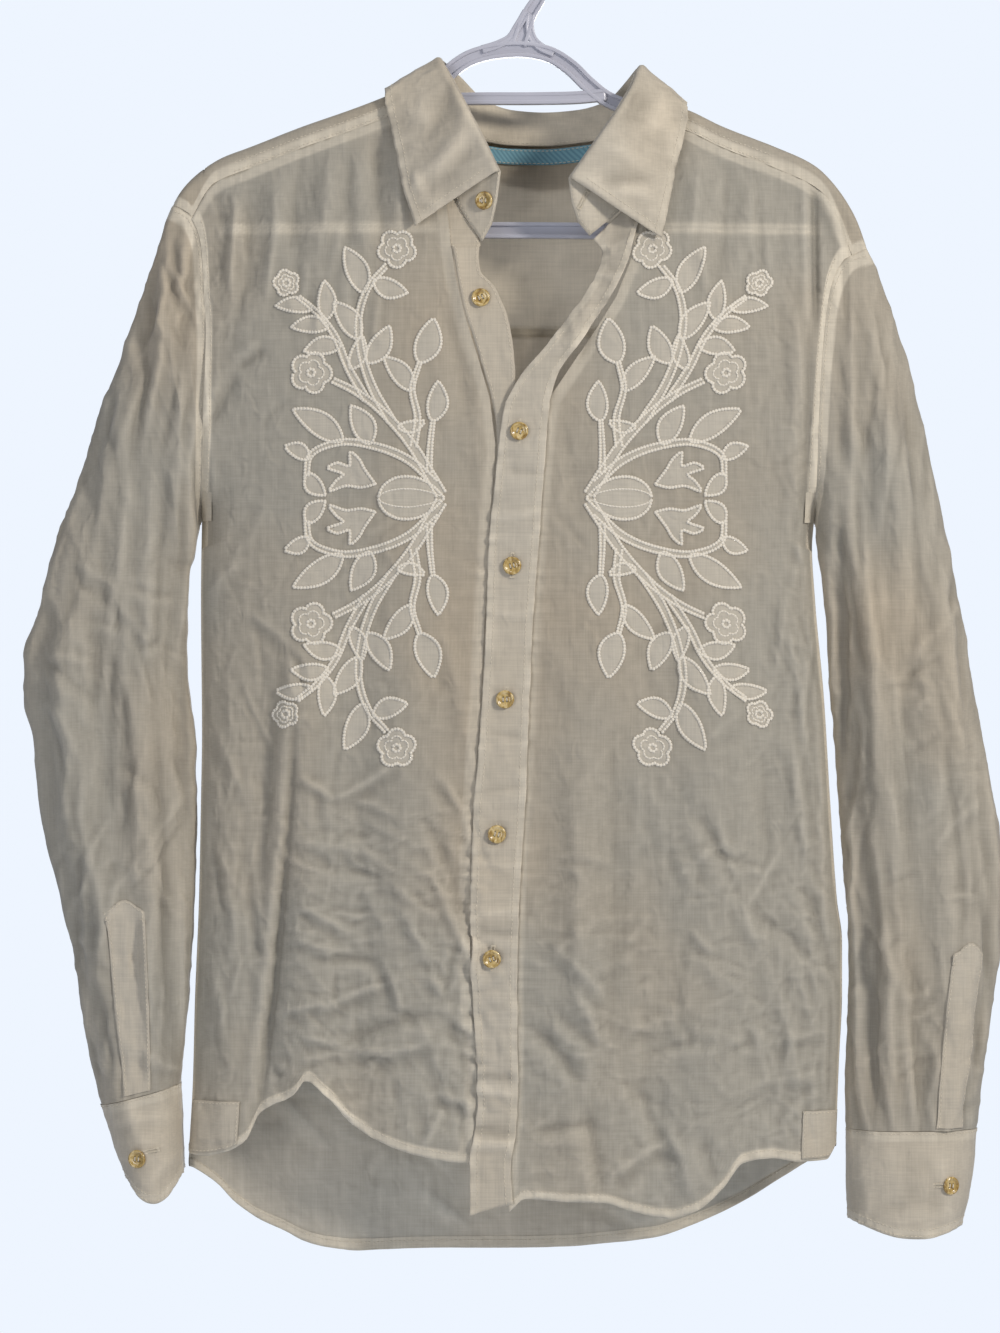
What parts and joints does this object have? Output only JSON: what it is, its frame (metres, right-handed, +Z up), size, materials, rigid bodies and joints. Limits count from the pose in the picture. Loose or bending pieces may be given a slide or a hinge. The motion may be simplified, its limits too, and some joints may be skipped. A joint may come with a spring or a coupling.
{
  "type": "long-sleeved button-up shirt on a hanger",
  "caption": "Sheer long-sleeved button-up shirt with a folded collar, embroidered front and curved hem, hung on a moulded plastic hanger with a hook.",
  "frame": {"origin": "inside top of the hanger's hook, where the rail carries it", "axes": "+Z up along the hanging shirt, -Y out of its front, +X towards the wearer's left sleeve"},
  "size_m": [0.6462, 0.0895, 0.8848],
  "materials": {
    "cloth": "sheer grey-beige voile",
    "tape": "woven teal tape",
    "button": "translucent amber resin",
    "hanger": "moulded grey plastic"
  },
  "bodies": {
    "root": {"back": "cloth", "yoke": "cloth", "front_left": "cloth", "front_right": "cloth", "placket_left": "cloth", "placket_right": "cloth", "collar_stand": "cloth", "collar_leaf": "cloth", "neck_tape": "tape", "sleeve_left": "cloth", "sleeve_right": "cloth", "sleeve_placket_left": "cloth", "sleeve_placket_right": "cloth", "cuff_left": "cloth", "cuff_right": "cloth", "gusset_left": "cloth", "gusset_right": "cloth", "button_collar": "button", "button_second": "button", "button_3": "button", "button_4": "button", "button_5": "button", "button_6": "button", "button_7": "button", "button_cuff_left": "button", "button_cuff_right": "button", "hanger": "hanger"}
  },
  "joints": []
}
